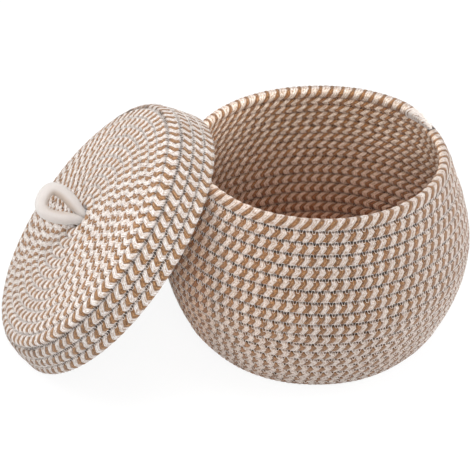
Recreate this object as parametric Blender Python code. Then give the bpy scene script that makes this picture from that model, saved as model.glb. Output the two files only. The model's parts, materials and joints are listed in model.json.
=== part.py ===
"""Lidded knitting basket of coiled rope, with its lid taken off and leaning against it.

The basket is one long braided rope, coiled flat for the base and on up the pot-bellied wall.
The lid is a second rope, coiled from the hole for its handle out to a short skirt.
The handle is a loop of thick soft cord, whose two ends go down through that hole.
"""
import math

import bpy
from mathutils import Matrix, Vector
from mathutils.bvhtree import BVHTree
from mathutils.geometry import interpolate_bezier
from mathutils.kdtree import KDTree

# The rope, and how its rows lie
ROPE_DIAMETER = 0.0099
ROW_PITCH = 0.0112
FLAT_CUT_SHARE = 0.1
JOIN_GAP = 0.0003
LOOP_POINTS = 20
INNER_LOOP_POINTS = 10
INNER_RADIUS = 0.065

# The basket's shape, at the middle of the rope
BASE_RADIUS = 0.100
BELLY_RADIUS = 0.1448
BELLY_HEIGHT = 0.100
RIM_RADIUS = 0.1166
RIM_HEIGHT = 0.2009
RIM_SLOPE = math.radians(109.6)
BASE_CURVE_SHARE = 0.49
LOWER_BELLY_SHARE = 0.31
UPPER_BELLY_SHARE = 0.28
RIM_SHARE = 0.37
RIM_END_ANGLE = math.radians(20.0)
BACK_FLATTEN_SHARE = 0.055
RIM_DIP = 0.004
RIM_DIP_ANGLE = math.radians(122.0)
FIRST_LOOP_RADIUS = 0.0121
FIRST_BEND = math.radians(38.0)

# The lid's shape, at the middle of the rope
LID_RADIUS = 0.139
LID_DEPTH = 0.0424
SHOULDER_RADIUS = 0.1282
SHOULDER_DEPTH = 0.0075
SHOULDER_BEND = 0.009
SHOULDER_SLOPE = math.radians(-45.0)
SKIRT_SLOPE = math.radians(-76.0)
DOME_SHARE = 0.52
HOLE_RADIUS = 0.0115

# The handle, a loop of cord that is drawn in where it goes through the lid
HANDLE_DIAMETER = 0.0125
HANDLE_END_DIAMETER = 0.0104
HANDLE_HEIGHT = 0.0395
HANDLE_TAIL = 0.012
HANDLE_END_SPACE = 0.0006
HANDLE_TURN = math.radians(131.4)
HANDLE_DROOP = math.radians(15.0)
HANDLE_RISE = 0.003
HANDLE_SPREAD = 0.0238
HANDLE_STEPS = 8
HANDLE_TAPER_SHARE = 0.4

# The thread that is wound over each rope's end
TACK_LENGTH = 0.030
TACK_THICKNESS = 0.0008
TACK_HALF_ARC = math.radians(100.0)
TACK_STEPS = 14

# How the lid leans on the basket
LID_TURN = math.radians(187.9)
LID_FOOT_REACH = 0.2832
LID_SIDE_STEP = -0.0066
LID_ROLL = math.radians(-1.75)
SEAT_GAP = 0.0003

# How finely outlines and gaps are worked out
OUTLINE_STEPS = 160
SAMPLE_STEP = 0.002
TIP_START = math.radians(80.0)
TIP_STEP = math.radians(2.0)
SEAT_ROUNDS = 12
ROUGH_SHARE = 5


class Outline:
    """The line that a rope's rows follow from the middle outwards, as radius and height."""

    def __init__(self, points):
        self.points = points
        self.lengths = [0.0]
        for before, after in zip(points, points[1:]):
            self.lengths.append(self.lengths[-1] + (after - before).length)
        self.length = self.lengths[-1]

    def at(self, distance):
        """Radius, height and slope at a distance along the outline."""
        span = 1
        while span < len(self.points) - 1 and self.lengths[span] < distance:
            span += 1
        start, end = self.points[span - 1], self.points[span]
        share = (distance - self.lengths[span - 1]) / (self.lengths[span] - self.lengths[span - 1])
        place = start.lerp(end, share)
        step = end - start
        return place.x, place.y, math.atan2(step.y, step.x)


class Corner:
    """One corner of a coiled rope: its place, and the way from the row before it to its own."""

    def __init__(self, place, onward, tilt):
        self.place = place
        self.onward = onward
        self.tilt = tilt

    def moved(self, place):
        """The same corner at another place."""
        return Corner(place, self.onward, self.tilt)


def bezier(start, start_handle, end_handle, end):
    """Points of a curve in radius and height."""
    return interpolate_bezier(start, start_handle, end_handle, end, OUTLINE_STEPS)


def slope_vector(slope):
    """Unit step in radius and height along a slope."""
    return Vector((math.cos(slope), math.sin(slope)))


def base_height():
    """Height of the rope's middle in the base, whose underside is cut flat to stand on."""
    return ROPE_DIAMETER / 2 - ROPE_DIAMETER * FLAT_CUT_SHARE


def basket_outline():
    """Flat base, round turn-up, belly and rim."""
    foot = Vector((BASE_RADIUS, base_height()))
    belly = Vector((BELLY_RADIUS, BELLY_HEIGHT))
    rim = Vector((RIM_RADIUS, RIM_HEIGHT))
    foot_handle = foot + Vector(((BELLY_RADIUS - BASE_RADIUS) * BASE_CURVE_SHARE, 0))
    below_belly = belly - Vector((0, BELLY_HEIGHT * LOWER_BELLY_SHARE))
    above_belly = belly + Vector((0, (RIM_HEIGHT - BELLY_HEIGHT) * UPPER_BELLY_SHARE))
    below_rim = rim - slope_vector(RIM_SLOPE) * (RIM_HEIGHT - BELLY_HEIGHT) * RIM_SHARE
    lower = bezier(foot, foot_handle, below_belly, belly)
    upper = bezier(belly, above_belly, below_rim, rim)
    return Outline([Vector((0, base_height()))] + lower + upper[1:])


def lid_outline():
    """Shallow dome, rounded shoulder and short skirt, from the middle of the lid's top."""
    middle = Vector((0, 0))
    shoulder = Vector((SHOULDER_RADIUS, -SHOULDER_DEPTH))
    edge = Vector((LID_RADIUS, -LID_DEPTH))
    dome_handle = Vector((SHOULDER_RADIUS * DOME_SHARE, 0))
    bend = slope_vector(SHOULDER_SLOPE) * SHOULDER_BEND
    rise = slope_vector(SKIRT_SLOPE) * SHOULDER_BEND
    dome = bezier(middle, dome_handle, shoulder - bend, shoulder)
    skirt = bezier(shoulder, shoulder + bend, edge - rise, edge)
    return Outline(dome + skirt[1:])


def coil_route(outline, first, start_angle, hand):
    """Corners of a rope coiled along an outline from a first radius to the outline's end.

    hand is 1 for a rope that runs counter-clockwise outwards, seen from +Z, and -1 for the other.
    Inner loops keep every second corner: they lie inside the finer loops round them.
    """
    corners = []
    count = 0
    while first + ROW_PITCH * count / LOOP_POINTS <= outline.length:
        radius, height, slope = outline.at(first + ROW_PITCH * count / LOOP_POINTS)
        angle = start_angle + hand * math.tau * count / LOOP_POINTS
        outward = Vector((math.cos(angle), math.sin(angle), 0))
        up = Vector((0, 0, 1))
        onward = outward * math.cos(slope) + up * math.sin(slope)
        corners.append(Corner(outward * radius + up * height, onward, -hand * slope))
        count += 1 if radius > INNER_RADIUS else LOOP_POINTS // INNER_LOOP_POINTS
    return corners


def pressed_out_of_round(corner):
    """Where a corner of the basket's rope lies once the back is flatter and lower than the front."""
    place = corner.place.copy()
    rise = min(1, max(0, place.z - base_height()) / BELLY_HEIGHT)
    toward_dip = math.cos(math.atan2(place.y, place.x) - RIM_DIP_ANGLE)
    place.z -= RIM_DIP * max(0, place.z - base_height()) / RIM_HEIGHT * max(0, toward_dip)
    if place.y > 0:
        place.y *= 1 - BACK_FLATTEN_SHARE * rise
    return corner.moved(place)


def split(corners, index):
    """The rope before and after the middle of one straight, a join's gap apart."""
    before, after = corners[index], corners[index + 1]
    middle = (before.place + after.place) / 2
    half_gap = (after.place - before.place).normalized() * JOIN_GAP / 2
    return (corners[:index + 1] + [before.moved(middle - half_gap)],
            [after.moved(middle + half_gap)] + corners[index + 1:])


def material(name, colour, roughness):
    """A plain Principled material."""
    result = bpy.data.materials.new(name)
    result.use_nodes = True
    shader = result.node_tree.nodes["Principled BSDF"]
    shader.inputs["Base Color"].default_value = (*colour, 1)
    shader.inputs["Roughness"].default_value = roughness
    return result


def add_object(name, data, surface, parent=None):
    """Link a named object with its own material."""
    result = bpy.data.objects.new(name, data)
    data.materials.append(surface)
    bpy.context.collection.objects.link(result)
    result.parent = parent
    return result


def cord_curve(name, places, diameter, resolution):
    """A round cord with closed ends along corners."""
    curve = bpy.data.curves.new(name, "CURVE")
    curve.dimensions = "3D"
    curve.twist_mode = "Z_UP"
    curve.bevel_depth = diameter / 2
    curve.bevel_resolution = resolution
    curve.use_fill_caps = True
    spline = curve.splines.new("POLY")
    spline.points.add(len(places) - 1)
    for point, place in zip(spline.points, places):
        point.co = (*place, 1)
    return curve


def rope_curve(name, corners):
    """One piece of a coiled rope, tilted at each corner so that its rows meet edge to edge."""
    curve = cord_curve(name, [corner.place for corner in corners], ROPE_DIAMETER, 1)
    for point, corner in zip(curve.splines[0].points, corners):
        point.tilt = corner.tilt
    return curve


def lay_rope(name, corners, surface, parent=None):
    """A coiled piece of rope as an object."""
    return add_object(name, rope_curve(name, corners), surface, parent)


def points_along(places):
    """Closely spaced points along straights, with their distances from the first."""
    result, distances = [places[0]], [0]
    for before, after in zip(places, places[1:]):
        straight = (after - before).length
        count = max(1, math.ceil(straight / SAMPLE_STEP))
        for step in range(1, count + 1):
            result.append(before.lerp(after, step / count))
            distances.append(distances[-1] + straight / count)
    return result, distances


def least_gap(corners):
    """The narrowest space between a rope and its own rows, measured on points along it."""
    places, distances = points_along([corner.place for corner in corners])
    tree = KDTree(len(places))
    for index, place in enumerate(places):
        tree.insert(place, index)
    tree.balance()
    nearest = ROW_PITCH * 2
    for index, place in enumerate(places):
        for _, other, distance in tree.find_range(place, nearest):
            if abs(distances[other] - distances[index]) > ROPE_DIAMETER * 2:
                nearest = min(nearest, distance)
    return nearest - ROPE_DIAMETER


def lead_in(corners):
    """Start the rope with a straight across the middle of the base, before its first loop."""
    first = corners[0]
    angle = math.atan2(first.place.y, first.place.x) + FIRST_BEND
    half = Vector((math.cos(angle), math.sin(angle), 0)) * ROPE_DIAMETER / 2
    middle = Vector((0, 0, first.place.z))
    return [first.moved(middle - half), first.moved(middle + half)] + corners


def lay_base(name, corners, surface):
    """The base's piece of rope, cut flat where the basket stands on it."""
    guide = bpy.data.objects.new("base_guide", rope_curve("base_guide", corners))
    base = add_object(name, bpy.data.meshes.new_from_object(guide), surface)
    bpy.data.objects.remove(guide)
    bpy.ops.mesh.primitive_cube_add(size=1)
    cutter = bpy.context.object
    cutter.name = "floor_cutter"
    cutter.scale = (BELLY_RADIUS * 2, BELLY_RADIUS * 2, ROPE_DIAMETER)
    cutter.location = (0, 0, -ROPE_DIAMETER / 2)
    cutter.hide_render = True
    cutter.display_type = "WIRE"
    cut = base.modifiers.new("flat_underside", "BOOLEAN")
    cut.operation = "DIFFERENCE"
    cut.solver = "EXACT"
    cut.object = cutter
    return base


def add_tack(name, corners, surface, parent=None):
    """Thread wound over a rope's end: a thin saddle on its last row, open to the row before."""
    end = corners[-1]
    along = (end.place - corners[-2].place).normalized()
    side = along.cross(end.onward).normalized()
    top = side.cross(along)
    reach = ROPE_DIAMETER / 2 + SEAT_GAP
    rings = []
    for step in range(TACK_STEPS + 1):
        turn = TACK_HALF_ARC * (2 * step / TACK_STEPS - 1)
        rings.append((0, reach * math.sin(turn), reach * math.cos(turn)))
    mesh = bpy.data.meshes.new(name)
    far = [(-TACK_LENGTH, y, z) for _, y, z in rings]
    count = len(rings)
    faces = [(i, i + 1, count + i + 1, count + i) for i in range(count - 1)]
    mesh.from_pydata(rings + far, [], faces)
    tack = add_object(name, mesh, surface, parent)
    tack.matrix_local = Matrix.Translation(end.place) @ Matrix((along, side, top)).transposed().to_4x4()
    shell = tack.modifiers.new("thread", "SOLIDIFY")
    shell.thickness = TACK_THICKNESS
    shell.offset = 1
    return tack


def make_basket(rope, thread):
    """Base, lower wall, upper wall and the tack on the rope's end."""
    outline = basket_outline()
    straights = math.floor((outline.length - FIRST_LOOP_RADIUS) / ROW_PITCH * LOOP_POINTS)
    start_angle = RIM_END_ANGLE + math.tau * straights / LOOP_POINTS
    corners = coil_route(outline, FIRST_LOOP_RADIUS, start_angle, -1)
    corners = lead_in([pressed_out_of_round(corner) for corner in corners])
    print("least gap of the basket's rope to itself, mm:", round(least_gap(corners) * 1000, 2))
    lifted = base_height() + ROPE_DIAMETER * FLAT_CUT_SHARE
    base_end = next(i for i, corner in enumerate(corners) if corner.place.z > lifted)
    base, wall = split(corners, base_end)
    belly = next(i for i, corner in enumerate(wall) if corner.place.z > BELLY_HEIGHT)
    lower, upper = split(wall, belly)
    lay_base("base_coil", base, rope)
    lower_coil = lay_rope("lower_wall_coil", lower, rope)
    upper_coil = lay_rope("upper_wall_coil", upper, rope)
    add_tack("rim_end_tack", upper, thread)
    return [lower_coil, upper_coil]


def handle_places(first, second):
    """Corners of the handle's cord, from one end under the lid round the loop to the other.

    first and second are the straight of the lid's rope that the cord's ends stand against.
    """
    across = Vector((math.cos(HANDLE_TURN), math.sin(HANDLE_TURN), 0))
    toward_rope = Vector((-across.y, across.x, 0))
    end_reach = (HANDLE_END_DIAMETER + HANDLE_END_SPACE) / 2
    side_step = ROW_PITCH / 4
    rope_side = (second - first).normalized().cross(Vector((0, 0, 1)))
    clear = (ROPE_DIAMETER + HANDLE_END_DIAMETER) / 2 + SEAT_GAP
    near_end = across * (side_step - end_reach)
    inward = ((first - near_end).dot(rope_side) - clear) / toward_rope.dot(rope_side)
    middle = across * side_step + toward_rope * inward
    up = Vector((0, 0, 1))
    leaning = up * math.cos(HANDLE_DROOP) + toward_rope * math.sin(HANDLE_DROOP)
    half = interpolate_bezier(Vector((end_reach, 0)), Vector((end_reach, HANDLE_RISE)),
                              Vector((HANDLE_SPREAD, HANDLE_HEIGHT)), Vector((0, HANDLE_HEIGHT)),
                              HANDLE_STEPS + 1)
    top = middle + up * ROPE_DIAMETER / 2
    below = -up * (ROPE_DIAMETER + HANDLE_TAIL)
    side = [top + across * point.x + leaning * point.y for point in half]
    other = [top - across * point.x + leaning * point.y for point in half]
    return [side[0] + below] + side + other[-2::-1] + [other[0] + below]


def make_handle(first, second, surface, parent):
    """The loop of cord, thinner where it goes through the lid."""
    curve = cord_curve("handle_loop", handle_places(first, second), HANDLE_DIAMETER, 2)
    points = curve.splines[0].points
    thin = HANDLE_END_DIAMETER / HANDLE_DIAMETER
    for index, point in enumerate(points):
        from_end = min(index, len(points) - 1 - index) - 1
        share = min(1, max(0, from_end / (HANDLE_STEPS * HANDLE_TAPER_SHARE)))
        point.radius = thin + (1 - thin) * share * share * (3 - 2 * share)
    return add_object("handle_loop", curve, surface, parent)


def make_lid(rope, thread, cord, axis):
    """Lid top, skirt, tack and handle, made about the lid's own axis."""
    outline = lid_outline()
    corners = coil_route(outline, HOLE_RADIUS, HANDLE_TURN + math.pi / 2, 1)
    first = corners[0]
    corners = [first] + [corner for corner in corners[1:]
                         if (corner.place - first.place).length > ROPE_DIAMETER]
    print("least gap of the lid's rope to itself, mm:", round(least_gap(corners) * 1000, 2))
    shoulder = next(i for i, corner in enumerate(corners) if corner.place.z < -SHOULDER_DEPTH)
    top, skirt = split(corners, shoulder)
    pieces = [lay_rope("lid_top_coil", top, rope, axis), lay_rope("lid_skirt_coil", skirt, rope, axis)]
    add_tack("lid_end_tack", skirt, thread, axis)
    make_handle(corners[0].place, corners[1].place, cord, axis)
    return pieces


def surface_of(objects, points_too):
    """Search tree over evaluated meshes, and closely spaced points along their edges."""
    depsgraph = bpy.context.evaluated_depsgraph_get()
    corners, faces, samples = [], [], []
    for thing in objects:
        evaluated = thing.evaluated_get(depsgraph)
        mesh = evaluated.to_mesh()
        start = len(corners)
        corners.extend(thing.matrix_local @ vertex.co for vertex in mesh.vertices)
        faces.extend([start + i for i in face.vertices] for face in mesh.polygons)
        if points_too:
            for edge in mesh.edges:
                ends = [corners[start + i] for i in edge.vertices]
                samples.extend(points_along(ends)[0])
        evaluated.to_mesh_clear()
    return BVHTree.FromPolygons(corners, faces), samples


def clearance(tree, places):
    """The least distance from places to a solid's surface, below zero for a place inside it."""
    least = math.inf
    for place in places:
        nearest, normal, _, distance = tree.find_nearest(place)
        least = min(least, distance if (place - nearest).dot(normal) > 0 else -distance)
    return least


def lean_lid(axis, basket, lid):
    """Stand the lid on its foot and tip it over towards the basket until it rests on it."""
    away = Vector((math.cos(LID_TURN), math.sin(LID_TURN), 0))
    level = Vector((-away.y, away.x, 0))
    foot = away * LID_FOOT_REACH + level * LID_SIDE_STEP
    tree, _ = surface_of(basket, False)
    _, samples = surface_of(lid, True)
    upper = [sample for sample in samples if sample.y > 0]
    rolled = Matrix.Rotation(LID_ROLL, 3, "Y")

    def tipped(lean):
        """The lid's place on the floor at one lean."""
        normal = away * math.sin(lean) + Vector((0, 0, math.cos(lean)))
        turned = Matrix((level, normal.cross(level), normal)).transposed() @ rolled
        place = foot - turned @ Vector((0, -LID_RADIUS, -LID_DEPTH))
        place.z = SEAT_GAP - min((turned @ sample).z for sample in samples)
        return Matrix.Translation(place) @ turned.to_4x4()

    def gap(lean, places):
        """The least distance from places on the lid to the basket, at one lean."""
        moved = tipped(lean)
        return clearance(tree, [moved @ place for place in places])

    free = TIP_START
    rough = upper[::ROUGH_SHARE]
    while gap(free - TIP_STEP, rough) > SEAT_GAP:
        free -= TIP_STEP
    held, free = free - TIP_STEP * 2, free + TIP_STEP
    for _ in range(SEAT_ROUNDS):
        middle = (held + free) / 2
        if gap(middle, upper) > SEAT_GAP:
            free = middle
        else:
            held = middle
    axis.matrix_local = tipped(free)
    sides = [[sample for sample in upper if sample.x * side > 0] for side in (1, -1)]
    print("the lid leans, degrees:", round(math.degrees(free), 2), "its two sides clear the rim by, mm:",
          [round(gap(free, side) * 1000, 2) for side in sides])


def main():
    """Make the basket, make the lid about its axis, and lean the lid on the basket."""
    for thing in list(bpy.data.objects):
        bpy.data.objects.remove(thing)
    rope = material("two_tone_rope", (0.66, 0.50, 0.36), 0.9)
    thread = material("tack_thread", (0.85, 0.82, 0.78), 0.8)
    cord = material("handle_cord", (0.80, 0.76, 0.72), 0.95)
    basket = make_basket(rope, thread)
    axis = bpy.data.objects.new("lid_axis", None)
    bpy.context.collection.objects.link(axis)
    lid = make_lid(rope, thread, cord, axis)
    bpy.context.view_layer.update()
    lean_lid(axis, basket, lid)


main()
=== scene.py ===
"""Looks of a lidded knitting basket of coiled two-tone rope, with its lid leaning against it."""
import json
import math

import bpy
import numpy as np
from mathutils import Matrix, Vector


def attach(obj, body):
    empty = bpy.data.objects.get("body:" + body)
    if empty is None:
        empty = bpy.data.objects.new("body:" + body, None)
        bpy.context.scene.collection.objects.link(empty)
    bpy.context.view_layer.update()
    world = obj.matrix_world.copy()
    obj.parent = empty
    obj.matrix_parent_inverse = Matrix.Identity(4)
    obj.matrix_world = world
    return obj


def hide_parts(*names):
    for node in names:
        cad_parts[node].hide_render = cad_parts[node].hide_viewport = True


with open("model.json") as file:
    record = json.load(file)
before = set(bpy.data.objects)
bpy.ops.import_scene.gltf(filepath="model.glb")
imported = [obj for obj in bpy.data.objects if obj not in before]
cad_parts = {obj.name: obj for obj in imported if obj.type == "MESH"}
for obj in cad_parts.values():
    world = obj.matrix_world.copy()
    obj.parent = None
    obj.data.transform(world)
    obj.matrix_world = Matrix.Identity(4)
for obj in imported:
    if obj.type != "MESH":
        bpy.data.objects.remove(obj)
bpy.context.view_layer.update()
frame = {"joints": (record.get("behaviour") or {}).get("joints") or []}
scene = bpy.context.scene


# Camera: a long lens, about two metres away and level from side to side. It looks down on the basket and on
# the lid that leans against it.
CAMERA_LENS = 153.2
CAMERA_PLACE = (-0.0775, -1.5956, 1.2086)
CAMERA_PITCH = math.radians(34.8)
camera = bpy.data.objects.new("camera", bpy.data.cameras.new("camera"))
camera.data.lens = CAMERA_LENS
camera.data.clip_end = 20
camera.location = CAMERA_PLACE
camera.rotation_euler = (math.radians(90) - CAMERA_PITCH, 0, 0)
scene.collection.objects.link(camera)
scene.camera = camera


# Strands: soft matt cotton, in cream and tan. Fine plies run along each strand, the dye is uneven, and stray
# pale fibres lie over it. Warm dark shade is painted in the creases between strands, between yarns and
# between rows.
# Near-black painted shade for the deepest parts of the grooves.
PAINTED_GROOVE_SHADOW = (0.02, 0.012, 0.008, 1)


def add_node(tree, kind, settings=None, **inputs):
    """One node, with its settings, and each input given a value or the output that feeds it."""
    node = tree.nodes.new(kind)
    for key, value in (settings or {}).items():
        setattr(node, key, value)
    for key, value in inputs.items():
        socket = node.inputs[int(key[1:])] if key[1:].isdigit() else node.inputs[key]
        if isinstance(value, bpy.types.NodeSocket):
            tree.links.new(value, socket)
        else:
            socket.default_value = value
    return node


def combine(tree, operation, first, second=0.0):
    """A Math node's output."""
    return add_node(tree, "ShaderNodeMath", {"operation": operation}, i0=first, i1=second).outputs[0]


def mix_colours(tree, share, first, second, blend="MIX"):
    """A colour mix's output."""
    settings = {"data_type": "RGBA", "blend_type": blend}
    return add_node(tree, "ShaderNodeMix", settings, i0=share, i6=first, i7=second).outputs[2]


def ranged(tree, value, source, target):
    """A value mapped from one range to another."""
    return add_node(tree, "ShaderNodeMapRange", i0=value, i1=source[0], i2=source[1], i3=target[0],
                    i4=target[1]).outputs[0]


def noise(tree, vector, scale, detail, roughness=0.5):
    """A noise's value."""
    return add_node(tree, "ShaderNodeTexNoise", Vector=vector, Scale=scale, Detail=detail,
                    Roughness=roughness).outputs[0]


def stretch(tree, vector, scale):
    """A vector scaled along its own axes."""
    return add_node(tree, "ShaderNodeMapping", Vector=vector, Scale=scale).outputs[0]


def cotton(name, roughness, sheen):
    """A new material for cotton, with its tree and shader."""
    made = bpy.data.materials.new(name)
    made.use_nodes = True
    shader = made.node_tree.nodes["Principled BSDF"]
    shader.inputs["Roughness"].default_value = roughness
    shader.inputs["Specular IOR Level"].default_value = 0.15
    shader.inputs["Sheen Weight"].default_value = sheen
    shader.inputs["Sheen Roughness"].default_value = 0.6
    return made, made.node_tree, shader


def strand_material(name, colour, pale, dark, shade, line):
    """One colour of braided strand, with its pale fibres, painted shade in its hollows and the shade of its
    uneven dye.

    line is how dark the painted shade between its yarns is.
    """
    made, tree, shader = cotton(name, 0.92, 0.2)
    lay = add_node(tree, "ShaderNodeUVMap", {"uv_map": "lay"}).outputs[0]
    yarns = add_node(tree, "ShaderNodeSeparateXYZ", Vector=lay).outputs[0]
    bent = combine(tree, "MULTIPLY", combine(tree, "SUBTRACT", noise(tree, lay, 0.9, 2.0), 0.5), 2.2)
    across_yarns = combine(tree, "ADD", combine(tree, "MULTIPLY", yarns, math.pi), bent)
    yarn = combine(tree, "ABSOLUTE", combine(tree, "SINE", across_yarns))
    fibre = noise(tree, stretch(tree, lay, (1.3, 0.8, 1.0)), 1.0, 3.0, 0.75)
    dye = noise(tree, lay, 0.55, 2.0, 0.6)
    yarn_cells = add_node(tree, "ShaderNodeVectorMath", {"operation": "FLOOR"},
                          i0=stretch(tree, lay, (1.0, 0.32, 1.0))).outputs[0]
    own_tone = add_node(tree, "ShaderNodeTexWhiteNoise", Vector=yarn_cells).outputs["Value"]
    uneven = combine(tree, "ADD", ranged(tree, dye, (0.38, 0.62), (0.0, 0.55)),
                     ranged(tree, own_tone, (0.3, 1.0), (0.0, 0.7)))
    dyed = mix_colours(tree, uneven, colour, shade)
    speckled = mix_colours(tree, ranged(tree, fibre, (0.36, 0.48), (0.75, 0.0)), dyed, dark)
    flecked = mix_colours(tree, ranged(tree, fibre, (0.51, 0.60), (0.0, 1.0)), speckled, pale)
    # Painted shade: the hollow shade, mottled by the fibres, and the lines between the yarns darken the
    # colour, down to near-black deep in the grooves.
    hollow_shade = add_node(tree, "ShaderNodeAttribute", {"attribute_name": "hollow_shade"}).outputs["Fac"]
    hollow_shade = combine(tree, "MULTIPLY", hollow_shade, ranged(tree, fibre, (0.38, 0.62), (0.45, 1.45)))
    between_yarns = ranged(tree, yarn, (0.1, 0.75), (line, 0.0))
    crease = ranged(tree, hollow_shade, (0.22, 0.8), (0.0, 0.9))
    creased = mix_colours(tree, combine(tree, "MAXIMUM", crease, between_yarns), flecked, dark)
    grooved = mix_colours(tree, ranged(tree, hollow_shade, (0.55, 0.85), (0.0, 0.9)), creased, PAINTED_GROOVE_SHADOW)
    # The colour is multiplied by the light and shade painted on the rope by place.
    painted_light = add_node(tree, "ShaderNodeAttribute", {"attribute_name": "painted_light"}).outputs["Color"]
    tree.links.new(mix_colours(tree, 1.0, grooved, painted_light, "MULTIPLY"), shader.inputs["Base Color"])
    height = combine(tree, "ADD", yarn, combine(tree, "MULTIPLY", fibre, 0.6))
    bump = add_node(tree, "ShaderNodeBump", Height=height, Strength=0.9, Distance=0.0006)
    tree.links.new(bump.outputs[0], shader.inputs["Normal"])
    return made


cream = strand_material("cream_strands", colour=(0.86, 0.80, 0.745, 1), pale=(0.93, 0.92, 0.92, 1),
                        dark=(0.25, 0.14, 0.075, 1), shade=(0.64, 0.54, 0.46, 1), line=0.4)
tan = strand_material("tan_strands", colour=(0.51, 0.245, 0.088, 1), pale=(0.60, 0.355, 0.17, 1),
                      dark=(0.055, 0.02, 0.007, 1), shade=(0.26, 0.122, 0.043, 1), line=0.75)


# Braided rope: cream and tan strands by turns, whose edges run round the rope in a zigzag, so that each row
# shows chevrons. It is one long tube, on which a strand's rounded back and the crease between two are relief.
# Of the tube's columns, 0 faces the row before, 5 the outside, 10 the next row and 15 the inside.
PERIOD = 0.0106
ROWS = 16
CREAM_ROWS = 9
YARNS = 6
COLUMNS = 20
YARN_LENGTHS_ROUND = 17
THICKNESS = 0.0101
HEIGHT = 0.0118
FULLNESS = 4.0
INNER_FULLNESS = 2.5
END_TAPER = 0.036
TAPER_POWER = 0.62
START_BLUNTNESS = 18
CREASE_SHARPNESS = 1.6
CREASE_DEPTH = 0.10
GROOVE_DEPTH = 0.20
GROOVE_SHARPNESS = 5
TOUCH_SHARPNESS = 24
UNEVEN_SWELLING = 0.05
TAN_THINNESS = 0.02
CREAM_SINKING = 0.25
TAN_SINKING_LOSS = 0.4
CREAM_CREASE_SHADE = 0.5
TAN_CREASE_SHADE = 0.72
GROOVE_SHADE = 0.2
GROOVE_SHADOW = 0.62
INNER_SHADOW_LOSS = 0.14
GROOVE_SIDES = (0.52, 0.87)
UNEVEN_SHADE = 1.1
TAN_TOP_SHADE = 1.1
UPPER_WALL = (0.075, 0.105)
RIM_BLEND = 0.06
FREE_EDGE_BLEND = 0.01
BRAID_SWAY = (0.0006, 0.083)
SHORT_BRAID_SWAY = (0.0005, 0.031, 1.3)
EDGE_SWAY = (0.00045, 0.0067)
EDGE_SWAY_LENGTH = 0.0191
ROPE_SWAY = (0.00025, 0.047)
SHORT_ROPE_SWAY = (0.0002, 0.0173, 2)
CHANCE_SPIN = 12.9898
CHANCE_SPREAD = 43758.5453
GIRTH = 0.038
STRIP_END_MARGIN = 0.004
STRIP_SIDE_MARGIN = 0.04


def progress(value, start, end):
    """How far a value has come from start to end, as a share from 0 to 1."""
    return np.clip((value - start) / (end - start), 0, 1)


columns = np.arange(COLUMNS + 1)
wall_shift = PERIOD * np.interp(columns, (0, 6, 10, 12, 15, 18, 20),
                                (0, -0.57, -0.33, -0.45, -0.95, -0.8, -1))
rim_shift = PERIOD * np.interp(columns, (0, 8, 13, 20), (0, -0.95, -1.02, -1.5))
share_columns = (0, 2, 4, 6, 8, 10, 13, 17, 20)
low_share = np.interp(columns, share_columns, (0.76, 0.64, 0.53, 0.52, 0.63, 0.76, 0.56, 0.56, 0.76))
high_share = np.interp(columns, share_columns, (0.40, 0.46, 0.53, 0.53, 0.46, 0.40, 0.56, 0.56, 0.40))
around = np.radians(-90 + 360 * columns / COLUMNS)
fullness = np.where(np.cos(around) > 0, FULLNESS, INNER_FULLNESS)
section = ((np.abs(np.cos(around)) / (THICKNESS / 2)) ** fullness
           + (np.abs(np.sin(around)) / (HEIGHT / 2)) ** fullness) ** (-1 / fullness)
toward_groove = np.abs(np.sin(around)) ** GROOVE_SHARPNESS
touching = np.abs(np.sin(around)) ** TOUCH_SHARPNESS
inner_face = np.clip(0.3 - 1.6 * np.cos(around), 0, 1)
groove_side = progress(np.abs(np.sin(around)), *GROOVE_SIDES)
groove_shadow = (GROOVE_SHADOW - INNER_SHADOW_LOSS * inner_face) * groove_side


def sway(distance, size, length, start=0):
    """A gentle wave along the rope."""
    return size * np.sin(distance / length + start)


def strand_lines(coil, rows, is_cream, strand_share, body, rim_from):
    """How far along the rope each corner of its net lies, so that the net's rows follow the strands' edges.

    Cream strands are narrower at the grooves of the upper wall, and the rim's row is braided steeper.
    """
    row_along = np.clip(rows / ROWS * PERIOD, 0, coil.length)
    on_rim = 0 if rim_from is None else progress(row_along[:, None], rim_from, rim_from + RIM_BLEND)
    height = coil.at(row_along)[0][:, 2:]
    upper = progress(height, *UPPER_WALL) * (body == "basket") * (1 - on_rim)
    cream_share = low_share * (1 - upper) + high_share * upper
    spread = np.where(is_cream, strand_share * cream_share, cream_share + strand_share * (1 - cream_share))
    line = (rows[:, None] // ROWS + spread) * PERIOD
    line = line + wall_shift * (1 - on_rim) + rim_shift * on_rim
    line = line + sway(line, *BRAID_SWAY) + sway(line, *SHORT_BRAID_SWAY)
    line = line + sway(line, *EDGE_SWAY, 2 * columns / COLUMNS) * np.sin(line / EDGE_SWAY_LENGTH)
    return np.clip(line, 0, coil.length)


def own_chance(number):
    """A fixed chance for each whole number, from -0.5 to 0.5."""
    spun = np.sin(number * CHANCE_SPIN) * CHANCE_SPREAD
    return spun - np.floor(spun) - 0.5


def net_mesh(name, places, row_of, corners):
    """A mesh of square faces on a net of places."""
    mesh = bpy.data.meshes.new(name)
    mesh.vertices.add(places.shape[0] * places.shape[1])
    mesh.vertices.foreach_set("co", places.astype(np.float32).ravel())
    mesh.loops.add(len(row_of) * 4)
    mesh.loops.foreach_set("vertex_index", corners.astype(np.int32).ravel())
    mesh.polygons.add(len(row_of))
    mesh.polygons.foreach_set("loop_start", np.arange(0, len(row_of) * 4, 4, dtype=np.int32))
    mesh.polygons.foreach_set("use_smooth", np.ones(len(row_of), bool))
    return mesh


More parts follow.
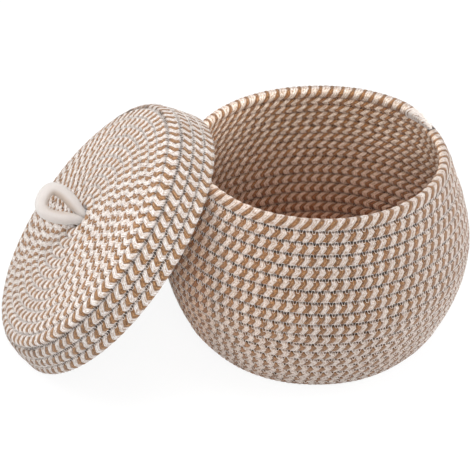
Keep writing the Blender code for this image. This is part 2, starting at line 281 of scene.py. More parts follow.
def add_layers(mesh, rows, row_of, corner_rows, corner_columns, length):
    """The map that the yarns follow, and a map in strips, one beside the other, for baking."""
    lay = mesh.uv_layers.new(name="lay")
    in_period = np.arange(len(rows)) + rows[0] % ROWS
    yarns = in_period // ROWS * YARNS
    yarns = yarns + np.interp(in_period % ROWS, (0, CREAM_ROWS, ROWS), (0, YARNS / 2, YARNS))
    along_strand = np.stack([yarns[corner_rows] + rows[0] // ROWS * YARNS,
                             corner_columns * YARN_LENGTHS_ROUND / COLUMNS], -1)
    lay.data.foreach_set("uv", along_strand.astype(np.float32).ravel())
    strips = max(1, round(math.sqrt(length / GIRTH)))
    strip_rows = math.ceil((len(rows) - 1) / strips)
    strip = (row_of // strip_rows)[:, None]
    bake = mesh.uv_layers.new(name="OFBake")
    along_strip = (corner_rows - strip * strip_rows) / strip_rows
    across_strip = STRIP_SIDE_MARGIN + (1 - 2 * STRIP_SIDE_MARGIN) * corner_columns / COLUMNS
    packed = np.stack([STRIP_END_MARGIN + (1 - 2 * STRIP_END_MARGIN) * along_strip,
                       (strip + across_strip) / strips], -1)
    bake.data.foreach_set("uv", packed.astype(np.float32).ravel())


def lay_rope(name, coil, start, end, body, node, fit, painted_light_of, rim_from=None, shadow=1.0):
    """A stretch of braided rope as one piece.

    fit presses it against what it touches, and the tint by place paints light and shade on it. From rim_from
    on it is braided like the rim's row. shadow is how dark the painted shade in its grooves is.
    """
    rows = np.arange(round(start / PERIOD * ROWS), round(end / PERIOD * ROWS) + 1)
    row_in_period = np.mod(rows, ROWS)[:, None]
    is_cream = row_in_period <= CREAM_ROWS
    strand_share = np.where(is_cream, row_in_period / CREAM_ROWS,
                            (row_in_period - CREAM_ROWS) / (ROWS - CREAM_ROWS))
    crease = np.abs(2 * strand_share - 1) ** CREASE_SHARPNESS
    distance = strand_lines(coil, rows, is_cream, strand_share, body, rim_from)
    middles, onward, out = coil.at(distance)
    from_end = np.minimum(distance * START_BLUNTNESS, coil.length - distance)
    nose = progress(from_end, 0, END_TAPER) ** TAPER_POWER
    uneven = own_chance(rows[:, None] // ROWS * 2 + ~is_cream)
    free_edge = progress(distance, coil.last_turn, coil.last_turn + FREE_EDGE_BLEND) * (np.sin(around) > 0)
    groove = toward_groove * (1 - free_edge)
    sinking = groove * np.where(is_cream, CREAM_SINKING * crease, 1 - TAN_SINKING_LOSS * crease)
    swelling = (UNEVEN_SWELLING * uneven - TAN_THINNESS * ~is_cream) * (1 - crease)
    relief = 1 + swelling - (CREASE_DEPTH * crease + GROOVE_DEPTH * sinking) * (1 - touching)
    radius = section * relief * nose
    spoke = np.cos(around)[:, None] * out + np.sin(around)[:, None] * onward
    wobble = sway(distance, *ROPE_SWAY) + sway(distance, *SHORT_ROPE_SWAY)
    places = fit(middles + radius[..., None] * spoke + wobble[..., None] * out)

    row_of = np.repeat(np.arange(len(rows) - 1), COLUMNS)
    column_of = np.tile(np.arange(COLUMNS), len(rows) - 1)
    span = (distance[:-1, :-1] + distance[1:, 1:]).ravel()
    on_rope = (span > 0) & (span < coil.length * 2)
    row_of, column_of = row_of[on_rope], column_of[on_rope]
    corner_rows = row_of[:, None] + np.array((0, 0, 1, 1))
    corner_columns = column_of[:, None] + np.array((0, 1, 1, 0))
    mesh = net_mesh(name, places, row_of, corner_rows * (COLUMNS + 1) + corner_columns)
    mesh.polygons.foreach_set("material_index", (np.mod(rows[row_of], ROWS) >= CREAM_ROWS).astype(np.int32))
    add_layers(mesh, rows, row_of, corner_rows, corner_columns, end - start)

    # The hollow shade is painted shade: in the creases between strands and the grooves between rows, uneven
    # strand by strand, and a painted shadow on the tops of tan strands under the row above.
    shaded_top = np.clip(np.sin(around) - 0.5, 0, 0.5) * (1 - free_edge) * (1 - inner_face)
    edge_depth = np.where(is_cream, CREAM_CREASE_SHADE, TAN_CREASE_SHADE) + GROOVE_SHADE * groove
    broken = shadow * (1 + UNEVEN_SHADE * uneven)
    deep = np.maximum.reduce([crease * edge_depth, sinking * broken, groove_shadow * broken * (1 - free_edge),
                              ~is_cream * TAN_TOP_SHADE * shaded_top])
    hollow_shade = mesh.attributes.new("hollow_shade", "FLOAT", "POINT")
    hollow_shade.data.foreach_set("value", deep.astype(np.float32).ravel())
    # Light and shade painted on the rope by place.
    painted_light = mesh.attributes.new("painted_light", "FLOAT_COLOR", "POINT")
    painted_light.data.foreach_set("color", painted_light_of(places).astype(np.float32).ravel())
    mesh.update(calc_edges=True)
    mesh.validate()
    mesh.materials.append(cream)
    mesh.materials.append(tan)
    piece = bpy.data.objects.new(name, mesh)
    scene.collection.objects.link(piece)
    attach(piece, body)
    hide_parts(node)


# Basket: one rope of braided cotton, wound from the middle of the flat base round the belly and in to the
# rim, where its end is tucked down. The soft wall has settled: its back is flatter, and its rim dips at the
# back left. Shade is painted on the rope outside, lighter to the left, with a warm painted shadow beside the
# lid. Inside it has painted light near the top and browner painted shade toward the base.
ROW_PITCH = 0.0112
LOOP_STEPS = 20
LOOP_PLACES = 400
BASE_LEVEL = 0.00396
BASE_RADIUS = 0.100
BELLY_RADIUS = 0.1448
BELLY_HEIGHT = 0.100
RIM_RADIUS = 0.1166
RIM_HEIGHT = 0.2009
RIM_SLOPE = 109.6
BASE_CURVE_SHARE = 0.49
LOWER_BELLY_SHARE = 0.31
UPPER_BELLY_SHARE = 0.28
RIM_SHARE = 0.37
ROPE_START_REACH = 0.0004
FIRST_LOOP_REACH = 0.0121
RIM_END_ANGLE = math.radians(20)
BACK_FLATTEN_SHARE = 0.055
RIM_DIP = 0.004
RIM_DIP_ANGLE = math.radians(122)
TUCK_LENGTH = 0.050
TUCK_DEPTH = 0.0048
BASKET_LOOSENESS = (0.90, 1.045)


def bezier(start, first, second, end, count=160):
    """Points of a curve in radius and height."""
    t = np.linspace(0, 1, count)[:, None]
    start, first, second, end = (np.array(point) for point in (start, first, second, end))
    return (1 - t) ** 3 * start + 3 * (1 - t) ** 2 * t * first + 3 * (1 - t) * t ** 2 * second + t ** 3 * end


def slope_step(degrees, length):
    """A step in radius and height along a slope."""
    return np.array((math.cos(math.radians(degrees)), math.sin(math.radians(degrees)))) * length


def whole_steps(outline, first_loop_reach):
    """How many twentieths of a loop fit along an outline after its first loop."""
    length = float(np.sum(np.hypot(*np.diff(outline, axis=0).T)))
    return math.floor((length - first_loop_reach) / ROW_PITCH * LOOP_STEPS)


class Coil:
    """The middle line of a coiled rope: its places, the way onward to the next row, and the way out.

    The rope starts first_reach along the outline. Its angle is start_angle at loop_reach, and it ends so many
    steps after that. hand is 1 for a rope that runs counter-clockwise outwards, seen from above, or -1.
    """

    def __init__(self, outline, first_reach, loop_reach, steps, start_angle, hand, looseness):
        along_outline = np.concatenate([[0], np.cumsum(np.hypot(*np.diff(outline, axis=0).T))])
        end_reach = loop_reach + ROW_PITCH * steps / LOOP_STEPS
        self.reach = np.arange(first_reach, end_reach, ROW_PITCH / LOOP_PLACES)
        radius = np.interp(self.reach, along_outline, outline[:, 0])
        height = np.interp(self.reach, along_outline, outline[:, 1])
        slope = np.arctan2(np.gradient(height), np.gradient(radius))
        quarter = LOOP_PLACES // 4
        window = np.ones(2 * quarter + 1) / (2 * quarter + 1)
        slope = np.convolve(np.pad(slope, quarter, "edge"), window, "valid")
        angle = start_angle + hand * math.tau * (self.reach - loop_reach) / ROW_PITCH
        outward = np.stack([np.cos(angle), np.sin(angle), np.zeros_like(angle)], 1)
        up = np.array((0, 0, 1.0))
        self.places = outward * radius[:, None] + up * height[:, None]
        self.onward = outward * np.cos(slope)[:, None] + up * np.sin(slope)[:, None]
        self.out = (outward * np.sin(slope)[:, None] - up * np.cos(slope)[:, None]) * -hand
        done = (self.reach - first_reach) / (self.reach[-1] - first_reach)
        self.looseness = looseness[0] + (looseness[1] - looseness[0]) * done
        self.measure()

    def measure(self):
        """Works out how far along the rope each place is, counted shorter where the braid is looser."""
        steps = np.linalg.norm(np.diff(self.places, axis=0), axis=1) / self.looseness[1:]
        self.along = np.concatenate([[0], np.cumsum(steps)])
        self.length = self.along[-1]
        self.last_turn = np.interp(self.reach[-1] - ROW_PITCH, self.reach, self.along)

    def at(self, distance, tables=None):
        """Places, ways onward and ways out at distances along the rope."""
        tables = tables or (self.places, self.onward, self.out)
        return [np.stack([np.interp(distance, self.along, table[:, axis]) for axis in range(3)], -1)
                for table in tables]


foot = np.array((BASE_RADIUS, BASE_LEVEL))
belly = np.array((BELLY_RADIUS, BELLY_HEIGHT))
rim = np.array((RIM_RADIUS, RIM_HEIGHT))
above_foot = foot + ((BELLY_RADIUS - BASE_RADIUS) * BASE_CURVE_SHARE, 0)
below_belly = belly - (0, BELLY_HEIGHT * LOWER_BELLY_SHARE)
above_belly = belly + (0, (RIM_HEIGHT - BELLY_HEIGHT) * UPPER_BELLY_SHARE)
below_rim = rim - slope_step(RIM_SLOPE, (RIM_HEIGHT - BELLY_HEIGHT) * RIM_SHARE)
basket_outline = np.concatenate([
    [(0, BASE_LEVEL)],
    bezier(foot, above_foot, below_belly, belly),
    bezier(belly, above_belly, below_rim, rim)[1:],
])
basket_steps = whole_steps(basket_outline, FIRST_LOOP_REACH)
basket = Coil(basket_outline, ROPE_START_REACH, FIRST_LOOP_REACH, basket_steps,
              RIM_END_ANGLE + math.tau * basket_steps / LOOP_STEPS, hand=-1, looseness=BASKET_LOOSENESS)
above_base = np.maximum(0, basket.places[:, 2] - BASE_LEVEL)
toward_dip = np.cos(np.arctan2(basket.places[:, 1], basket.places[:, 0]) - RIM_DIP_ANGLE)
basket.places[:, 2] -= RIM_DIP * above_base / RIM_HEIGHT * np.maximum(0, toward_dip)
flattened = 1 - BACK_FLATTEN_SHARE * np.minimum(1, above_base / BELLY_HEIGHT)
basket.places[:, 1] *= np.where(basket.places[:, 1] > 0, flattened, 1)
tucked = progress(basket.along, basket.length - TUCK_LENGTH, basket.length) ** 2
basket.places -= basket.onward * (tucked * TUCK_DEPTH)[:, None]
basket.measure()

FLOOR_GAP = 0.0003
# Painted light and shade on the basket's rope: lit and warm high inside, darker and browner toward the base,
# shaded outside but lighter to the left and a little to the upper right, and a warm painted shadow beside the
# lid.
INSIDE_HIGH = np.array((1.18, 1.06, 0.94))
INSIDE_LOW = np.array((0.76, 0.48, 0.34))
INSIDE_HEIGHTS = (0.152, 0.047)
INSIDE_RIM = np.array((0.97, 0.90, 0.83))
INSIDE_RIM_HEIGHTS = (0.191, 0.198)
OUTSIDE = np.array((0.565, 0.53, 0.515))
LEFT_GAIN = np.array((0.25, 0.20, 0.16))
RIGHT_GAIN = 0.04
LID_SHADOW_TINT = np.array((0.82, 0.61, 0.46))
BASE_END_REACH = 0.1045
WALL_STRETCHES = 6
SPARE_PERIODS = 1.6


def on_floor(places):
    """Rope that stands on the floor is pressed flat against it."""
    places[..., 2] = np.maximum(places[..., 2], FLOOR_GAP)
    return places


def basket_painted_light(places):
    """The painted light and shade on the basket's rope, by place."""
    x, y, z = places[..., :1], places[..., 1:2], places[..., 2:]
    inside = inner_face[:, None]
    depth = progress(z, *INSIDE_HEIGHTS)
    inner = INSIDE_HIGH * (1 - depth) + INSIDE_LOW * depth
    at_rim = progress(z, *INSIDE_RIM_HEIGHTS)
    inner = inner * (1 - at_rim) + INSIDE_RIM * at_rim
    to_left = progress(x, 0, -0.12)
    to_right = progress(x, 0, 0.13) * progress(z, 0, 0.2)
    outer = OUTSIDE + LEFT_GAIN * to_left + RIGHT_GAIN * to_right
    lid_shadow = progress(x, -0.096, -0.11) * progress(y, 0.03, -0.02)
    outer = outer * (1 - lid_shadow) + LID_SHADOW_TINT * lid_shadow
    return np.concatenate([outer * (1 - inside) + inner * inside, np.ones_like(z)], -1)


base_end = float(np.interp(BASE_END_REACH, basket.reach, basket.along))
belly_end = float(basket.along[np.argmax(basket.places[:, 2] > BELLY_HEIGHT)])
wall_end = basket.length + SPARE_PERIODS * PERIOD
wall_cuts = [*np.linspace(base_end, belly_end, WALL_STRETCHES // 2 + 1),
             *np.linspace(belly_end, wall_end, WALL_STRETCHES // 2 + 1)[1:]]
rim_start = basket.length - math.tau * RIM_RADIUS
lay_rope("base_rope", basket, 0, base_end, "basket", "base_coil", on_floor, basket_painted_light)
for number in range(WALL_STRETCHES):
    lay_rope(f"wall_rope_{number + 1}", basket, wall_cuts[number], wall_cuts[number + 1], "basket",
             "lower_wall_coil" if number < WALL_STRETCHES // 2 else "upper_wall_coil", on_floor, basket_painted_light,
             rim_from=rim_start if number == WALL_STRETCHES - 1 else None)


# Lid: a second rope, wound from the handle's hole over a nearly flat top and a soft shoulder, and down a
# short skirt. It stands on its own edge, where it is pressed flat, and leans on the basket's rim, which dents
# it. Light is painted on it, palest high up on top, with painted shade on the shoulder, the skirt and low
# down.
SHOULDER_RADIUS = 0.1282
SHOULDER_DEPTH = 0.0075
LID_RADIUS = 0.139
LID_DEPTH = 0.0424
DOME_SHARE = 0.52
SHOULDER_BEND = 0.009
SHOULDER_SLOPE = -45
SKIRT_SLOPE = -76
HOLE_RADIUS = 0.0115
LID_LOOSENESS = (1.0, 1.02)
HANDLE_TURN = math.radians(131.4)
LID_TURN = math.radians(187.9)
LID_MIDDLE = np.array((-0.22409, -0.02312, 0.13174))

shoulder = np.array((SHOULDER_RADIUS, -SHOULDER_DEPTH))
edge = np.array((LID_RADIUS, -LID_DEPTH))
bend = slope_step(SHOULDER_SLOPE, SHOULDER_BEND)
lid_outline = np.concatenate([
    bezier((0, 0), (SHOULDER_RADIUS * DOME_SHARE, 0), shoulder - bend, shoulder),
    bezier(shoulder, shoulder + bend, edge - slope_step(SKIRT_SLOPE, SHOULDER_BEND), edge)[1:],
])
lid = Coil(lid_outline, HOLE_RADIUS, HOLE_RADIUS, whole_steps(lid_outline, HOLE_RADIUS),
           HANDLE_TURN + math.pi / 2, hand=1, looseness=LID_LOOSENESS)
lid_axis = np.array(frame["joints"][0]["axis"])
level = np.array((-math.sin(LID_TURN), math.cos(LID_TURN), 0))
up_lid = np.cross(lid_axis, level)
up_lid /= np.linalg.norm(up_lid)
lid_axes = np.stack([np.cross(up_lid, lid_axis), up_lid, lid_axis])
lid.places = lid.places @ lid_axes + LID_MIDDLE
lid.onward = lid.onward @ lid_axes
lid.out = lid.out @ lid_axes

# Painted light and shade on the lid's rope: lightest on top, darker on the shoulder, the skirt and low down.
LID_TOP_LIGHT = 0.915
SKIRT_SHADE = 0.235
SKIRT_DEPTHS = (-0.001, 0.010)
LOW_SHADE = 0.08
LOW_DEPTHS = (-0.03, 0.08)
LID_BLUE_GAIN = 1.02
LID_TOP_SHADOW = 0.45
LID_TOP_STRETCHES = 2
LID_TOP_END_REACH = 0.1302
LEAN_CLEARANCE = 0.00605
RIM_LENGTH = 1.7
NEAR_X = -0.145
NEAR_Z = 0.17
PLACES_AT_ONCE = 2000
rim_places = basket.places[basket.along > basket.length - RIM_LENGTH][::4]


def lid_painted_light(places):
    """The painted light and shade on the lid's rope, by place: painted shade low down, and on the shoulder
    and the skirt.
    """
    down = -((places - LID_MIDDLE) @ lid_axes[1:].T)
    tones = LID_TOP_LIGHT - SKIRT_SHADE * progress(down[..., 1:], *SKIRT_DEPTHS)
    tones = tones - LOW_SHADE * progress(down[..., :1], *LOW_DEPTHS)
    return np.concatenate([tones, tones, tones * LID_BLUE_GAIN, np.ones_like(tones)], -1)


def leaning(places):
    """Moves what is closer to the rim's rope than half a rope's height away from it."""
    places = on_floor(places)
    flat = places.reshape(-1, 3)
    near = np.nonzero((flat[:, 0] > NEAR_X) & (flat[:, 2] > NEAR_Z))[0]
    for chunk in np.array_split(near, len(near) // PLACES_AT_ONCE + 1):
        apart = flat[chunk][:, None] - rim_places[None]
        square = np.einsum("ijk,ijk->ij", apart, apart)
        nearest = square.argmin(1)
        reach = np.sqrt(square[np.arange(len(chunk)), nearest])
        away = apart[np.arange(len(chunk)), nearest] / reach[:, None]
        flat[chunk] += away * np.maximum(0, LEAN_CLEARANCE - reach)[:, None]
    return places


lid_top_end = float(np.interp(LID_TOP_END_REACH, lid.reach, lid.along))
stretch_length = lid_top_end / LID_TOP_STRETCHES
for number in range(LID_TOP_STRETCHES):
    lay_rope(f"lid_top_rope_{number + 1}", lid, stretch_length * number, stretch_length * (number + 1), "lid",
             "lid_top_coil", leaning, lid_painted_light, shadow=LID_TOP_SHADOW)
lay_rope("lid_skirt_rope", lid, lid_top_end, lid.length + PERIOD, "lid", "lid_skirt_coil", leaning, lid_painted_light)


# Sewing thread: one thin pale cotton thread, which zigzags over each groove from the middle to the edge and
# ties each row to the next. It shows on both faces of the basket and of the lid; on the inside faces it is a
# copy painted in warm shade.
STITCH_LENGTH = 0.0027
SEAM_START = 0.01
SEAM_RADIUS = 0.00027
SEAM_SIDES = 3
SEAM_RISE = 0.0006
SEAM_SINK = 0.0001
SEAM_FLOOR_GAP = 0.0006
OUTER_CROSSING = (0.33, 0.5, 0.67)
INNER_CROSSING = (0.4, 0.5, 0.6)


def thread_material(name, pale, dark):
    """Twisted thread, in two shades."""
    made, tree, shader = cotton(name, 0.8, 0.1)
    twist = add_node(tree, "ShaderNodeTexNoise", Scale=900.0, Detail=1.0).outputs[0]
    tree.links.new(mix_colours(tree, twist, pale, dark), shader.inputs["Base Color"])
    return made


def ring_faces(shape):
    """The faces of tubes whose corners are numbered tube by tube, ring by ring and side by side."""
    index = np.arange(math.prod(shape)).reshape(shape)
    following = np.roll(index, -1, -1)
    faces = (index[..., :-1, :], following[..., :-1, :], following[..., 1:, :], index[..., 1:, :])
    return np.stack(faces, -1).reshape(-1, 4).tolist()


def add_tubes(name, places, sideways, upward, radius, sides, body, material):
    """Threads of one piece, each a row of places, as tubes."""
    turns = np.arange(sides) * math.tau / sides
    ring = np.cos(turns)[:, None] * upward[:, :, None] + np.sin(turns)[:, None] * sideways[:, :, None]
    faces = ring_faces((*places.shape[:2], sides))
    mesh = bpy.data.meshes.new(name)
    mesh.from_pydata((places[:, :, None] + ring * radius).reshape(-1, 3), [], faces)
    mesh.polygons.foreach_set("use_smooth", np.ones(len(faces), bool))
    mesh.materials.append(material)
    piece = bpy.data.objects.new(name, mesh)
    scene.collection.objects.link(piece)
    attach(piece, body)
    return piece


def sew(name, coil, body, face):
    """The zigzag over every groove, seen on the side that face times the way out points to."""
    count = int((coil.last_turn - SEAM_START) / STITCH_LENGTH)
    crossing = np.tile(OUTER_CROSSING if face > 0 else INNER_CROSSING, count)
    number = np.repeat(np.arange(count), 3)
    distance = SEAM_START + (number + crossing) * STITCH_LENGTH
    upper_share = np.where(number % 2 == 1, 1 - crossing, crossing)[:, None]
    reach = np.interp(distance, coil.along, coil.reach)
    below, out_below = coil.at(distance, (coil.places, coil.out))
    above, out_above = coil.at(np.interp(reach + ROW_PITCH, coil.reach, coil.along), (coil.places, coil.out))
    out = (out_below * (1 - upper_share) + out_above * upper_share) * face
    from_row = np.minimum(upper_share, 1 - upper_share) * ROW_PITCH
    power = FULLNESS if face > 0 else INNER_FULLNESS
    surface = THICKNESS / 2 * (1 - np.minimum(1, from_row / (HEIGHT / 2)) ** power) ** (1 / power)
    raised = np.where(crossing == 0.5, SEAM_RISE, -SEAM_SINK)[:, None]
    places = below * (1 - upper_share) + above * upper_share + out * (surface + raised)
    places[:, 2] = np.maximum(places[:, 2], SEAM_FLOOR_GAP)
    sideways = np.cross(np.gradient(places, axis=0), out)
    sideways /= np.linalg.norm(sideways, axis=1)[:, None]
    add_tubes(name, places[None], sideways[None], out[None], SEAM_RADIUS, SEAM_SIDES, body,
              thread if face > 0 else shaded_thread)


thread = thread_material("sewing_thread", (0.78, 0.74, 0.71, 1), (0.58, 0.51, 0.46, 1))
# The same thread with warm shade painted into its colour, for the inside faces.
shaded_thread = thread_material("sewing_thread_shaded", (0.56, 0.38, 0.28, 1), (0.40, 0.25, 0.17, 1))
sew("basket_seam_outside", basket, "basket", 1)
sew("basket_seam_inside", basket, "basket", -1)
sew("lid_seam_outside", lid, "lid", 1)
sew("lid_seam_inside", lid, "lid", -1)


# Tacks: the same thread, wound closely over each rope's tucked end and into the row before it, so that the
# braid can't come apart. No two turns lie quite alike.
TACK_TURNS = 34
TACK_POINTS = 17
TACK_LENGTH = 0.031
TACK_ARC = 125
TACK_TWIST = 0.15
TACK_LEAN = (0.001, 0.006)
TACK_OVERHANG = 0.002
TACK_CORE = 0.0006
TACK_REACH = 0.0053
LOOSE_TURN = 0.0004
TACK_RADIUS = 0.00042
TACK_SIDES = 5


def wind_tack(name, coil, body, node):
    """The stitches over one rope's end, each an uneven saddle of thread."""
    rng = np.random.default_rng(5)
    twist = rng.uniform(-TACK_TWIST, TACK_TWIST, (TACK_TURNS, 1))
    turn = np.radians(np.linspace(-TACK_ARC, TACK_ARC, TACK_POINTS)) + twist
    lean = rng.uniform(*TACK_LEAN, (TACK_TURNS, 1))
    from_end = np.linspace(0, TACK_LENGTH, TACK_TURNS)[:, None]
    along = coil.length + TACK_OVERHANG - from_end + lean * np.sin(turn)
    middles, onward, out = coil.at(np.minimum(along, coil.length - 0.0002))
    tapered = progress(coil.length - along, 0, END_TAPER) ** TAPER_POWER
    side = (np.abs(np.cos(turn)) ** FULLNESS + np.abs(np.sin(turn)) ** FULLNESS) ** (-1 / FULLNESS)
    reach = TACK_CORE + TACK_REACH * tapered * side + rng.uniform(0.0, LOOSE_TURN, (TACK_TURNS, 1))
    spoke = np.cos(turn)[..., None] * onward + np.sin(turn)[..., None] * out
    piece = add_tubes(name, middles + spoke * reach[..., None], np.cross(out, onward), spoke, TACK_RADIUS,
                      TACK_SIDES, body, thread)
    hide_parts(node)


wind_tack("rim_tack_stitches", basket, "basket", "rim_end_tack")
wind_tack("lid_tack_stitches", lid, "lid", "lid_end_tack")


# Handle: a loop of thick soft cotton cord, brushed so that its yarns show only at its root, where the hole
# pinches it thinner. It droops over the start of the lid's rope, against which its two ends stand.
HANDLE_DROOP = math.radians(15)
LOOP_HEIGHT = 0.0388
LOOP_SPREAD = 0.0252
ROOT_SPREAD = 0.0040
ROOT_RISE = (0.0062, 0.008)
ROOT_SHIFT = 0.00195
ROOT_LIFT = 0.00495
ROOT_RADIUS = 0.0046
LOOP_GAIN = 0.0016
PINCH = (0.0205, 0.0345)
END_ROUNDING = 0.003
TAIL_LENGTH = 0.0219
LUMP_SIZE = 0.025
LUMP_LENGTH = 0.011
FLUFF_SIZE = 0.006
YARN_RELIEF = 0.05
YARN_COUNT = 8
YARN_TWIST_LENGTH = 0.0008
LOOP_RINGS = 150
LOOP_SIDES = 32
PALE_FLEECE = (0.57, 0.54, 0.52, 1)
GREY_FLEECE = (0.43, 0.39, 0.37, 1)
WORN_FLEECE = (0.49, 0.44, 0.40, 1)
SHADED_FLEECE = (0.38, 0.29, 0.225, 1)


def fleece_material():
    """Brushed cotton: fine fluff, faint patches, and painted warm shade on the loop's inner side."""
    made, tree, shader = cotton("brushed_cord", 0.95, 0.5)
    fluff = add_node(tree, "ShaderNodeTexNoise", Scale=420.0, Detail=4.0, Roughness=0.75).outputs[0]
    patches = add_node(tree, "ShaderNodeTexNoise", Scale=60.0, Detail=1.0).outputs[0]
    colour = mix_colours(tree, ranged(tree, fluff, (0.3, 0.7), (0.0, 1.0)), GREY_FLEECE, PALE_FLEECE)
    colour = mix_colours(tree, ranged(tree, patches, (0.4, 0.7), (0.0, 0.35)), colour, WORN_FLEECE)
    inner_side = add_node(tree, "ShaderNodeAttribute", {"attribute_name": "inner_side"}).outputs["Fac"]
    tree.links.new(mix_colours(tree, inner_side, colour, SHADED_FLEECE), shader.inputs["Base Color"])
    bump = add_node(tree, "ShaderNodeBump", Height=fluff, Strength=0.6, Distance=0.0008)
    tree.links.new(bump.outputs[0], shader.inputs["Normal"])
    return made


def loop_line(across, leaning_up, root):
    """Even places from one tail under the lid round the loop to the other, and how far along each is."""
    half_loop = bezier((ROOT_SPREAD, 0), ROOT_RISE, (LOOP_SPREAD, LOOP_HEIGHT), (0, LOOP_HEIGHT), 40)
    one_side = root + across * half_loop[:, :1] + leaning_up * half_loop[:, 1:]
    other_side = root - across * half_loop[:, :1] + leaning_up * half_loop[:, 1:]
    down = np.linspace(1, 0.05, 8)[:, None] * np.array((0, 0, -TAIL_LENGTH))
    corners = np.concatenate([one_side[0] + down, one_side, other_side[-2::-1], other_side[0] + down[::-1]])
    along = np.concatenate([[0], np.cumsum(np.linalg.norm(np.diff(corners, axis=0), axis=1))])
    even = np.linspace(0, along[-1], LOOP_RINGS)
    line = np.stack([np.interp(even, along, corners[:, axis]) for axis in range(3)], 1)
    for _ in range(3):
        line[1:-1] = (line[:-2] + line[1:-1] * 2 + line[2:]) / 4
    return line, even


handle_across = np.array((math.cos(HANDLE_TURN), math.sin(HANDLE_TURN), 0))
toward_rope = np.array((-handle_across[1], handle_across[0], 0))
leaning_up = np.array((0, 0, math.cos(HANDLE_DROOP))) + toward_rope * math.sin(HANDLE_DROOP)
root = handle_across * ROW_PITCH / 4 - toward_rope * ROOT_SHIFT + np.array((0, 0, ROOT_LIFT))
loop, loop_along = loop_line(handle_across, leaning_up, root)
flat_side = np.cross(handle_across, leaning_up)
loop_sideways = np.cross(np.gradient(loop, axis=0), flat_side)
loop_sideways /= np.linalg.norm(loop_sideways, axis=1)[:, None]
from_tip = np.minimum(loop_along, loop_along[-1] - loop_along)
from_root = progress(from_tip, *PINCH)
girth = ROOT_RADIUS + LOOP_GAIN * from_root ** 2 * (3 - 2 * from_root)
girth = girth * np.sqrt(np.clip(from_tip / END_ROUNDING, 0.02, 1))
rng = np.random.default_rng(3)
turns = np.arange(LOOP_SIDES) * math.tau / LOOP_SIDES
lumps = 1 + LUMP_SIZE * np.sin(loop_along / LUMP_LENGTH)[:, None] * np.sin(turns * 2 + 1)
lumps = lumps + rng.normal(0, FLUFF_SIZE, (LOOP_RINGS, LOOP_SIDES))
yarns = np.sin(turns * YARN_COUNT + loop_along[:, None] / YARN_TWIST_LENGTH)
lumps = lumps + YARN_RELIEF * (1 - from_root[:, None]) * yarns
spokes = np.cos(turns)[:, None] * flat_side + np.sin(turns)[:, None] * loop_sideways[:, None]
handle_places = (loop[:, None] + spokes * (girth[:, None] * lumps)[..., None]) @ lid_axes + LID_MIDDLE
faces = ring_faces((LOOP_RINGS, LOOP_SIDES))
faces += [list(range(LOOP_SIDES))[::-1], list(range((LOOP_RINGS - 1) * LOOP_SIDES, LOOP_RINGS * LOOP_SIDES))]
handle_mesh = bpy.data.meshes.new("handle_cord")
handle_mesh.from_pydata(handle_places.reshape(-1, 3), [], faces)
handle_mesh.polygons.foreach_set("use_smooth", np.ones(len(faces), bool))
handle_mesh.materials.append(fleece_material())
# Painted warm shade on the loop's inner side, strongest round the loop and faint at the root.
inward = np.clip(-np.sin(turns) * 1.3 - 0.3, 0, 1) * (0.25 + 0.75 * from_root[:, None])
inner_side = handle_mesh.attributes.new("inner_side", "FLOAT", "POINT")
inner_side.data.foreach_set("value", inward.astype(np.float32).ravel())
handle = bpy.data.objects.new("handle_cord", handle_mesh)
scene.collection.objects.link(handle)
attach(handle, "lid")
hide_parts("handle_loop")


# Floor and light: a pale floor and backdrop, which the camera sees as near white, an even sky, and soft lamps
# on both sides, above, and in front, from where the light reaches the inside of the basket.
FLOOR_REACH = 9
FLOOR_COLOUR = (0.93, 0.93, 0.93, 1)
FLOOR_GLOW_SHARE = 0.88
BACKDROP = 1.02
SKY_COLOUR = (1.0, 0.99, 0.98, 1)
SKY_STRENGTH = 0.63
LAMP_SIZE = 1.2


def shown_directly(tree):
    """1 where a ray comes from the camera, a mirror or glass, so that it sees the backdrop itself."""
    path = add_node(tree, "ShaderNodeLightPath")
    seen = combine(tree, "ADD", path.outputs["Is Camera Ray"], path.outputs["Is Glossy Ray"])
    return combine(tree, "MINIMUM", combine(tree, "ADD", seen, path.outputs["Is Transmission Ray"]), 1.0)


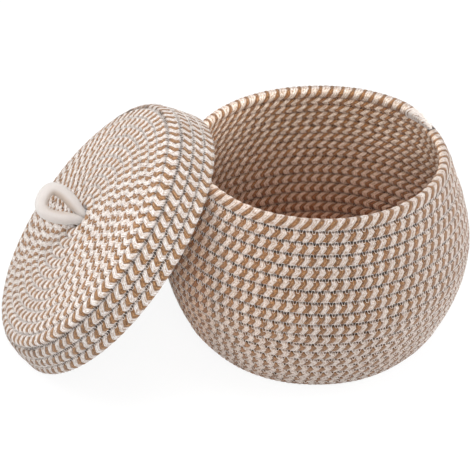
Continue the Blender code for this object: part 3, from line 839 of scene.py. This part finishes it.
def floor_material():
    """Pale matt paint that takes a shadow, mixed with the backdrop's white where it is seen directly."""
    made = bpy.data.materials.new("floor_paint")
    made.use_nodes = True
    tree = made.node_tree
    shader = tree.nodes["Principled BSDF"]
    shader.inputs["Base Color"].default_value = FLOOR_COLOUR
    shader.inputs["Roughness"].default_value = 0.9
    glow = add_node(tree, "ShaderNodeEmission", Color=(1, 1, 1, 1), Strength=BACKDROP)
    glow_share = combine(tree, "MULTIPLY", shown_directly(tree), FLOOR_GLOW_SHARE)
    blend = add_node(tree, "ShaderNodeMixShader", i0=glow_share, i1=shader.outputs[0], i2=glow.outputs[0])
    tree.links.new(blend.outputs[0], tree.nodes["Material Output"].inputs["Surface"])
    return made


def add_lamp(name, place, power):
    """A square soft lamp that points at the basket."""
    lamp = bpy.data.objects.new(name, bpy.data.lights.new(name, "AREA"))
    lamp.data.shape = "SQUARE"
    lamp.data.size = LAMP_SIZE
    lamp.data.energy = power
    lamp.location = place
    lamp.rotation_euler = (Vector((0, 0, BELLY_HEIGHT)) - Vector(place)).to_track_quat("-Z", "Y").to_euler()
    scene.collection.objects.link(lamp)


floor_corners = [(-FLOOR_REACH, -FLOOR_REACH, 0), (FLOOR_REACH, -FLOOR_REACH, 0),
                 (FLOOR_REACH, FLOOR_REACH, 0), (-FLOOR_REACH, FLOOR_REACH, 0)]
floor_mesh = bpy.data.meshes.new("floor")
floor_mesh.from_pydata(floor_corners, [], [(0, 1, 2, 3)])
floor_mesh.materials.append(floor_material())
floor = bpy.data.objects.new("floor", floor_mesh)
scene.collection.objects.link(floor)

world = bpy.data.worlds.new("sky")
scene.world = world
world.use_nodes = True
sky_tree = world.node_tree
sky = sky_tree.nodes["Background"]
sky.inputs["Color"].default_value = SKY_COLOUR
sky_strength = ranged(sky_tree, shown_directly(sky_tree), (0.0, 1.0), (SKY_STRENGTH, BACKDROP))
sky_tree.links.new(sky_strength, sky.inputs["Strength"])

add_lamp("left_lamp", (-1.6, -0.4, 1.8), 20)
add_lamp("right_lamp", (1.9, 0.0, 1.1), 24)
add_lamp("front_lamp", (0.1, -2.1, 1.5), 35)
add_lamp("top_lamp", (0.0, 0.0, 2.4), 28)
scene.view_settings.view_transform = "Standard"
